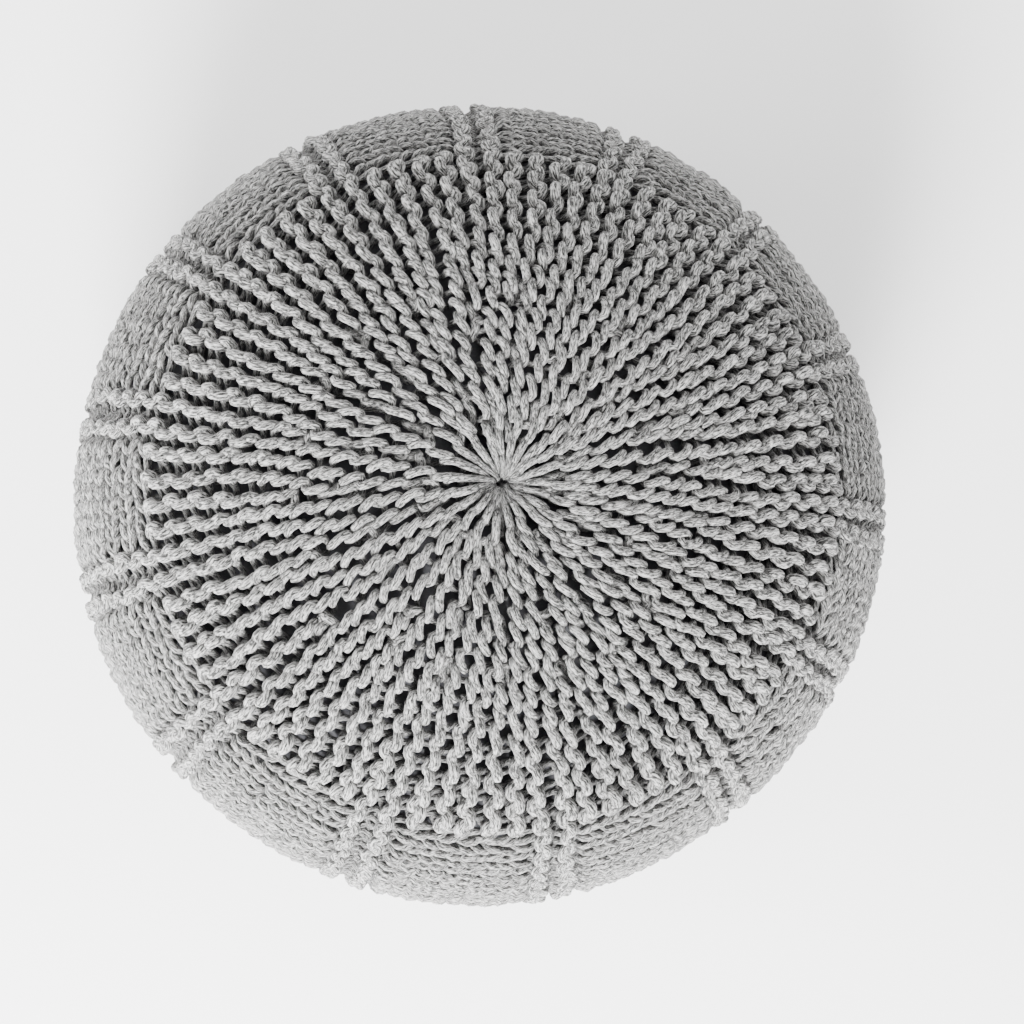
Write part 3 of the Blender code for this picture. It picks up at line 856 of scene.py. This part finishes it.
def gathering_cord():
    """A ring of cord: its radius falls by RING_SPIRAL a turn and wanders as sin 3φ, and its
    height as sin 2φ."""
    low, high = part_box("crown_gathering_cord")
    count = np.linspace(0, RING_TURNS, RING_POINTS)
    phi = TURN * count
    wave = RING_WANDER * np.sin(3 * TURN * count)
    radius = high[0] - CORD_DIAMETER / 2 + wave - RING_SPIRAL * count
    height = (low[2] + high[2]) / 2 + RING_LIFT * np.sin(2 * TURN * count)
    points = np.stack([radius * np.cos(phi), radius * np.sin(phi), height], -1)
    out = np.broadcast_to([0.0, 0.0, 1.0], points.shape)
    # The ring's depth, −CROWN_DIVE, sets its Height, which darkens it with the cord's painted shade.
    ring = tube(points, out, RING_CORD_RADIUS, -CROWN_DIVE, RING_SIDES)
    points, faces, maps, values, length = join_tubes([ring], math.pi * CORD_DIAMETER)
    name = "crown_gathering_ring"
    piece = make_piece(name, points, faces, cotton_cord, maps=maps, values=values)
    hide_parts("crown_gathering_cord")
    print(f"Gathering cord {length / MM:.0f} mm long")


gathering_cord()

# %% [markdown]
# ## The base
#
# Under the pouf a folded canvas tape binds the knitting's edge round a wide opening. Two
# half discs of black cotton canvas close it, with a zip sewn between them. The canvas is a
# plain weave of thick yarn, so its threads cross at right angles and catch the light in
# turn: the weave is the product of two waves, one along each thread direction.

# %% Black canvas and zip tape
# Both weaves are drawn a little coarser than the real yarn, so that they show.
CANVAS_THREAD = 0.9 * MM
TAPE_THREAD = 0.6 * MM
SLUB_SPACING = 9 * MM
WAVES_PER_UNIT = 20 / TURN


def make_woven_black(name, thread, dark, light, roughness):
    """A plain weave in a dark yarn: two bands of threads at right angles, each drawn as a sine
    of its own coordinate, one wave in two threads, multiplied so that they pass over and under
    by turns. A wave texture of scale 1 has WAVES_PER_UNIT waves in each metre."""
    material, tree, shader = start_material(
        name, Roughness=roughness, Specular_IOR_Level=0.25, Sheen_Weight=0.1)
    place = add_node(tree, "ShaderNodeTexCoord")
    across_thread = {
        "Vector": place.outputs["Object"], "Scale": 1 / (2 * thread * WAVES_PER_UNIT),
        "Distortion": 0.4, "Detail": 1.0}
    along = add_node(tree, "ShaderNodeTexWave", across_thread, bands_direction="X")
    across = add_node(tree, "ShaderNodeTexWave", across_thread, bands_direction="Y")
    weave = add_node(tree, "ShaderNodeMath", {
        0: along.outputs["Fac"], 1: across.outputs["Fac"]}, operation="MULTIPLY")
    slubs = add_node(tree, "ShaderNodeTexNoise", {
        "Vector": place.outputs["Object"], "Scale": 1 / SLUB_SPACING, "Detail": 4.0})
    mixed = add_node(tree, "ShaderNodeMath", {
        0: slubs.outputs["Fac"], 1: 0.6, 2: weave.outputs[0]}, operation="MULTIPLY_ADD")
    colour = add_node(tree, "ShaderNodeValToRGB", {0: mixed.outputs[0]}, stops={0.2: dark, 1.0: light})
    bump = add_node(tree, "ShaderNodeBump", {
        "Strength": 0.8, "Distance": thread / 2, "Height": weave.outputs[0]})
    tree.links.new(colour.outputs[0], shader.inputs["Base Color"])
    tree.links.new(bump.outputs[0], shader.inputs["Normal"])
    return material


black_canvas = make_woven_black("black_cotton_canvas_plain_woven", CANVAS_THREAD, "#101011", "#2E2E30", 0.9)
black_tape = make_woven_black("black_polyester_zip_tape_close_woven", TAPE_THREAD, "#0D0D0E", "#29292B", 0.75)

# %% Nylon and dark zinc
DRAW_MARK = 0.4 * MM
WORN_PATCH, ZINC_PEBBLE, ZINC_RELIEF = 3 * MM, 0.5 * MM, 0.1 * MM


def make_black_nylon():
    """Nylon monofilament, drawn out smooth: almost black, with a soft gloss that picks out each
    tooth, broken by fine draw marks."""
    material, tree, shader = start_material("black_nylon_monofilament_drawn", IOR=1.53)
    shader.inputs["Base Color"].default_value = linear("#141416")
    place = add_node(tree, "ShaderNodeTexCoord")
    marks = add_node(tree, "ShaderNodeTexNoise", {
        "Vector": place.outputs["Object"], "Scale": 1 / DRAW_MARK, "Detail": 2.0})
    gloss = add_node(tree, "ShaderNodeMapRange", {
        "Value": marks.outputs["Fac"], "To Min": 0.28, "To Max": 0.46})
    tree.links.new(gloss.outputs[0], shader.inputs["Roughness"])
    return material


def make_dark_zinc():
    """Zinc alloy, die cast and plated black: a dark metal with a pebbled skin, worn brighter in
    patches where it is handled."""
    material, tree, shader = start_material("dark_zinc_alloy_die_cast_and_plated", Metallic=1.0)
    place = add_node(tree, "ShaderNodeTexCoord")
    worn = add_node(tree, "ShaderNodeTexNoise", {
        "Vector": place.outputs["Object"], "Scale": 1 / WORN_PATCH, "Detail": 4.0, "Roughness": 0.6})
    skin = add_node(tree, "ShaderNodeTexNoise", {
        "Vector": place.outputs["Object"], "Scale": 1 / ZINC_PEBBLE, "Detail": 2.0})
    colour = add_node(tree, "ShaderNodeValToRGB", {0: worn.outputs["Fac"]}, stops={
        0.42: "#4A4A4D", 0.68: "#77777B"})
    gloss = add_node(tree, "ShaderNodeMapRange", {
        "Value": worn.outputs["Fac"], "To Min": 0.48, "To Max": 0.26})
    bump = add_node(tree, "ShaderNodeBump", {
        "Strength": 0.25, "Distance": ZINC_RELIEF, "Height": skin.outputs["Fac"]})
    tree.links.new(colour.outputs[0], shader.inputs["Base Color"])
    tree.links.new(gloss.outputs[0], shader.inputs["Roughness"])
    tree.links.new(bump.outputs[0], shader.inputs["Normal"])
    return material


black_nylon = make_black_nylon()
dark_zinc = make_dark_zinc()

# %% Binding
BINDING_WIDTH = 4.3 * MM
BINDING_FACETS, BINDING_RING = 480, 20
BINDING_SQUARENESS = 0.6
BINDING_GAP, BINDING_RIM_GAP = 0.2 * MM, 0.3 * MM
PUCKER, SLOW_PUCKER = 0.25 * MM, 0.15 * MM
PUCKERS, SLOW_PUCKERS = 60, 23


def squared(wave):
    """A sine or cosine pushed towards ±1, to round a flat section's corners: its size to the
    power BINDING_SQUARENESS, with its sign."""
    return np.sign(wave) * np.abs(wave) ** BINDING_SQUARENESS


def binding():
    """A rounded flat section carried round the opening: half its width × squared cos q across
    and half its height × squared sin q up, with fine and slow puckers round the opening."""
    low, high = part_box("base_binding")
    q, phi = np.meshgrid(angles(BINDING_RING), angles(BINDING_FACETS))
    pucker = PUCKER * np.sin(PUCKERS * phi) + SLOW_PUCKER * np.sin(SLOW_PUCKERS * phi + 1)
    across = BINDING_WIDTH / 2 * squared(np.cos(q))
    up = ((high[2] - low[2]) / 2 - BINDING_GAP) * squared(np.sin(q))
    r = high[0] - BINDING_WIDTH / 2 - BINDING_RIM_GAP + across + pucker * np.abs(np.sin(q))
    z = (low[2] + high[2]) / 2 + up + 0.5 * pucker
    points = np.stack([r * np.cos(phi), r * np.sin(phi), z], -1)
    points = np.concatenate([points, points[:1]]).reshape(-1, 3)
    faces = grid_faces(BINDING_FACETS + 1, BINDING_RING, wrap=True)[:, ::-1]
    piece = make_piece("base_binding_tape", points, faces, black_canvas, weld=True)
    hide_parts("base_binding")


binding()

# %% Canvas halves
CANVAS_COLUMNS, CANVAS_ROWS = 97, 41
RIPPLE, RIPPLE_STEP, RIPPLE_BEND, RIPPLE_REACH = 0.35 * MM, 7 * MM, 30 * MM, 60 * MM
CANVAS_INSET = 0.1 * MM


def canvas_half(side):
    """Half a disc as a grid: x = R·sin(90° u), and y runs from the zip's slot to the circle
    √(R² − x²). The cloth is drawn tight, with low ripples that run out from the zip and fade
    at both its edges. The second layer, a cloth's thickness higher, closes it."""
    name = "left" if side > 0 else "right"
    low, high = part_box("base_cloth_" + name)
    slot = min(abs(low[1]), abs(high[1]))
    radius = math.hypot(high[0], slot)
    u = np.linspace(-math.pi / 2, math.pi / 2, CANVAS_COLUMNS)
    x, v = np.meshgrid(high[0] * np.sin(u), np.linspace(0, 1, CANVAS_ROWS), indexing="ij")
    y = slot + (np.sqrt(np.maximum(radius ** 2 - x ** 2, slot ** 2)) - slot) * v
    ripple = RIPPLE * np.sin(x / RIPPLE_STEP + 2 * np.sin(y / RIPPLE_BEND))
    ripple = ripple * np.sin(math.pi * v) ** 2 * np.exp(-(y / RIPPLE_REACH) ** 2)
    bottom = np.stack([x, side * y, low[2] + CANVAS_INSET + np.abs(ripple)], -1)
    top = bottom + [0, 0, high[2] - low[2] - 2 * CANVAS_INSET]
    points = np.concatenate([bottom, top[:, ::-1], bottom[:, :1]], 1)
    faces = grid_faces(CANVAS_COLUMNS, points.shape[1])
    if side < 0:
        faces = faces[:, ::-1]
    piece = make_piece(
        f"base_canvas_{name}", points.reshape(-1, 3), faces, black_canvas, weld=True)
    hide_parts("base_cloth_" + name)


canvas_half(1)
canvas_half(-1)

# %% [markdown]
# ### The zip
#
# A nylon zip has a coil of monofilament sewn along each tape. The two coils are pressed into
# each other, so the teeth of one lie between the teeth of the other. Each coil is a tube
# along a flattened helix: across = a·cos t, height = b·sin t, and it moves one pitch along
# for each turn. One coil is half a pitch further on than the other.

# %% Coils
COIL_PITCH = 1.5 * MM
COIL_WIRE = 0.6 * MM
COIL_START = 0.25 * MM
COIL_STEPS, COIL_SIDES = 10, 5


def zip_coil(side):
    """One coil, as a tube along its helix between the ends of the CAD coil. Returns its turns."""
    name = "left" if side > 0 else "right"
    low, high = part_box("zip_coil_" + name)
    turns = int((high[0] - low[0] - COIL_WIRE) / COIL_PITCH)
    t = np.linspace(0, TURN * turns, turns * COIL_STEPS)
    near, far = COIL_START, max(abs(low[1]), abs(high[1]))
    x = low[0] + COIL_WIRE / 2 + COIL_PITCH * (t / TURN + (0.5 if side > 0 else 0.0))
    y = side * ((near + far - COIL_WIRE / 2) / 2 - (far - near - COIL_WIRE) / 2 * np.cos(t))
    z = (low[2] + high[2]) / 2 + (high[2] - low[2] - COIL_WIRE) / 2 * np.sin(t)
    keep = x < high[0] - COIL_WIRE / 2
    points = np.stack([x, y, z], -1)[keep]
    out = unit(np.stack([0 * t, -side * np.cos(t), np.sin(t)], -1))[keep]
    surface, faces, *_ = tube(points, out, COIL_WIRE / 2, sides=COIL_SIDES)
    piece = make_piece(f"zip_coil_teeth_{name}", surface, faces, black_nylon)
    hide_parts("zip_coil_" + name)
    return turns


print("Turns of each coil:", zip_coil(1), zip_coil(-1))

# %% Stitches
STITCH_PITCH, STITCH_BAR, THREAD_DIAMETER = 3.4 * MM, 2.6 * MM, 0.55 * MM
STITCH_RINGS = STITCH_SIDES = 6
STITCH_SINK = 0.35 * MM
STITCH_TAPER = 0.92
TAPE_ROWS = 7 * MM, 12 * MM
TAPE_END, CANVAS_EDGE, BINDING_ROW = 3 * MM, 2 * MM, 2.4 * MM
BINDING_PITCH = 1.3 * STITCH_PITCH


def stitch_row(centres, directions):
    """Lock stitches: each is a short bar, a circle swept along `directions` about its centre,
    whose radius tapers as √(1 − taper·w²) from w = −1 to 1 and which sinks at both ends by w⁴."""
    w = np.linspace(-1, 1, STITCH_RINGS)[:, None]
    theta = angles(STITCH_SIDES)
    radius = THREAD_DIAMETER / 2 * np.sqrt(1 - STITCH_TAPER * w ** 2)
    forward = STITCH_BAR / 2 * w + 0 * theta
    across = radius * np.cos(theta)
    down = radius * np.sin(theta) + STITCH_SINK * w ** 4
    sideways = np.stack([-directions[:, 1], directions[:, 0], 0 * directions[:, 0]], -1)
    points = centres[:, None, None] + forward[None, ..., None] * directions[:, None, None]
    points = points + across[None, ..., None] * sideways[:, None, None]
    points = points + down[None, ..., None] * np.array([0.0, 0.0, 1.0])
    faces = grid_faces(STITCH_RINGS, STITCH_SIDES, wrap=True)
    first = STITCH_RINGS * STITCH_SIDES * np.arange(len(centres))
    return points.reshape(-1, 3), (faces[None] + first[:, None, None]).reshape(-1, 4)


def base_stitching():
    """Two rows along each tape, and one round the binding, all in black thread on the
    underside."""
    low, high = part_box("zip_tape_left")
    cloth_low, cloth_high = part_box("base_cloth_left")
    binding_low, binding_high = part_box("base_binding")
    x = np.arange(low[0] + TAPE_END, high[0] - TAPE_END, STITCH_PITCH)
    rows = []
    for y in TAPE_ROWS:
        for side in (1, -1):
            inside = np.hypot(x, y) < cloth_high[0] - CANVAS_EDGE
            centres = np.stack([x, 0 * x + side * y, 0 * x + cloth_low[2] - CANVAS_INSET], -1)[inside]
            rows.append(stitch_row(centres, np.broadcast_to([1.0, 0.0, 0.0], centres.shape)))
    radius = binding_high[0] - BINDING_ROW
    phi = np.arange(0, TURN, BINDING_PITCH / radius)
    height = 0 * phi + binding_low[2] - CANVAS_INSET
    centres = np.stack([radius * np.cos(phi), radius * np.sin(phi), height], -1)
    rows.append(stitch_row(centres, np.stack([-np.sin(phi), np.cos(phi), 0 * phi], -1)))
    points, faces, count = [], [], 0
    for p, f in rows:
        points.append(p)
        faces.append(f + count)
        count += len(p)
    points, faces = np.concatenate(points), np.concatenate(faces)
    make_piece("base_stitching", points, faces, black_tape)
    print("Stitches:", count // (STITCH_RINGS * STITCH_SIDES))


base_stitching()

# %% [markdown]
# ### The parts that keep their CAD shape
#
# The tapes, the stops, the slider and its pull are exact in the CAD model already, so they
# stay, and only their materials are set here. Slider and pull ride on their own bodies.

# %% CAD nodes' materials
CAD_FINISHES = {
    black_tape: ("zip_tape_left", "zip_tape_right"),
    dark_zinc: ("zip_top_stop_left", "zip_top_stop_right", "zip_bottom_stop", "zip_slider", "zip_pull"),
}
for material, names in CAD_FINISHES.items():
    for name in names:
        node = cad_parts[name]
        node.data.materials.clear()
        node.data.materials.append(material)
    print(material.name, "on", ", ".join(names))

# %% [markdown]
# ## Floor, lights and camera
#
# The pouf stands on a pale matt floor that fades out into the studio's own light. One large
# soft light on the near side makes the shade in the gaps, a low one on the left rounds the
# flank, and a weak broad one overhead fills in. The studio round it is brightest near the
# floor. The camera looks almost straight down, from a metre and a half above the waist.

# %% Floor
FLOOR_SOLID_TO, FLOOR_REACH = 1.1, 2.6


def make_floor():
    """A square of matt white board that is solid to FLOOR_SOLID_TO from its middle, and fades
    to nothing at FLOOR_REACH."""
    material, tree, shader = start_material("white_board_matt_painted", Roughness=0.9)
    shader.inputs["Base Color"].default_value = linear("#F2F2F2")
    place = add_node(tree, "ShaderNodeTexCoord")
    away = add_node(tree, "ShaderNodeVectorMath", {0: place.outputs["Object"]}, operation="LENGTH")
    fade = add_node(tree, "ShaderNodeMapRange", {
        "Value": away.outputs["Value"], "From Min": FLOOR_SOLID_TO, "From Max": FLOOR_REACH,
        "To Min": 1.0, "To Max": 0.0}, interpolation_type="SMOOTHSTEP")
    tree.links.new(fade.outputs[0], shader.inputs["Alpha"])
    corners = FLOOR_REACH * np.array([[-1, -1, 0], [1, -1, 0], [1, 1, 0], [-1, 1, 0]])
    floor = make_piece("studio_floor", corners, np.array([[0, 1, 2, 3]]), material, body=None)


make_floor()

# %% Camera
AIM = np.array([20.4, -4.5, 150]) * MM
CAMERA_TILT = math.radians(6.6)
CAMERA_DISTANCE = 1.5
SENSOR_WIDTH, LENS_FOR_FRAME = 36, 85.2


def aim_object(thing, place, target, up):
    """Puts a camera or light at `place`, looking along −Z at `target`, with its Y as near to
    `up` as can be: X = up × back and Y = back × X."""
    back = unit(np.asarray(place, float) - np.asarray(target, float))
    right = unit(np.cross(up, back))
    axes = np.stack([right, np.cross(back, right), back, place], 1)
    thing.matrix_world = np.vstack([axes, [0, 0, 0, 1]]).T


camera_data = bpy.data.cameras.new("camera")
camera_data.sensor_width = SENSOR_WIDTH
camera_data.lens = LENS_FOR_FRAME
camera = bpy.data.objects.new("camera", camera_data)
bpy.context.scene.collection.objects.link(camera)
bpy.context.scene.camera = camera
aside = -math.sin(CAMERA_TILT) * math.sqrt(0.5)
place = np.array([0, 0, AIM[2]]) + CAMERA_DISTANCE * np.array([aside, aside, math.cos(CAMERA_TILT)])
aim_object(camera, place, AIM, up=(0, 1, 0))

# %% Lights
LIGHTS = {
    "key_light": {"place": (-0.5, -2.0, 1.25), "size": 0.9, "watts": 350},
    "left_light": {"place": (-2.1, -0.2, 0.45), "size": 0.9, "watts": 110},
    "overhead_light": {"place": (1.0, 0.6, 2.4), "size": 2.2, "watts": 25},
}
LIT_POINT = (0, 0, 0.15)
STUDIO_STRENGTH_LOW, STUDIO_STRENGTH_HIGH = 7.0, 0.5


def add_light(name, place, size, watts):
    """A square area light that faces the pouf's waist."""
    data = bpy.data.lights.new(name, "AREA")
    data.size = size
    data.energy = watts
    light = bpy.data.objects.new(name, data)
    bpy.context.scene.collection.objects.link(light)
    aim_object(light, place, LIT_POINT, up=(0, 1, 0))


def light_studio():
    """The world's light: its strength falls with the height of the direction it comes from."""
    world = bpy.data.worlds.new("studio")
    bpy.context.scene.world = world
    world.use_nodes = True
    tree, background = world.node_tree, world.node_tree.nodes["Background"]
    place = add_node(tree, "ShaderNodeTexCoord")
    height = add_node(tree, "ShaderNodeSeparateXYZ", {0: place.outputs["Generated"]})
    level = add_node(tree, "ShaderNodeMapRange", {
        "Value": height.outputs["Z"], "From Min": 0.1, "From Max": 0.8,
        "To Min": STUDIO_STRENGTH_LOW, "To Max": STUDIO_STRENGTH_HIGH})
    tree.links.new(level.outputs[0], background.inputs["Strength"])
    background.inputs["Color"].default_value = linear("#F4F4F4")


for name, settings in LIGHTS.items():
    add_light(name, **settings)
light_studio()
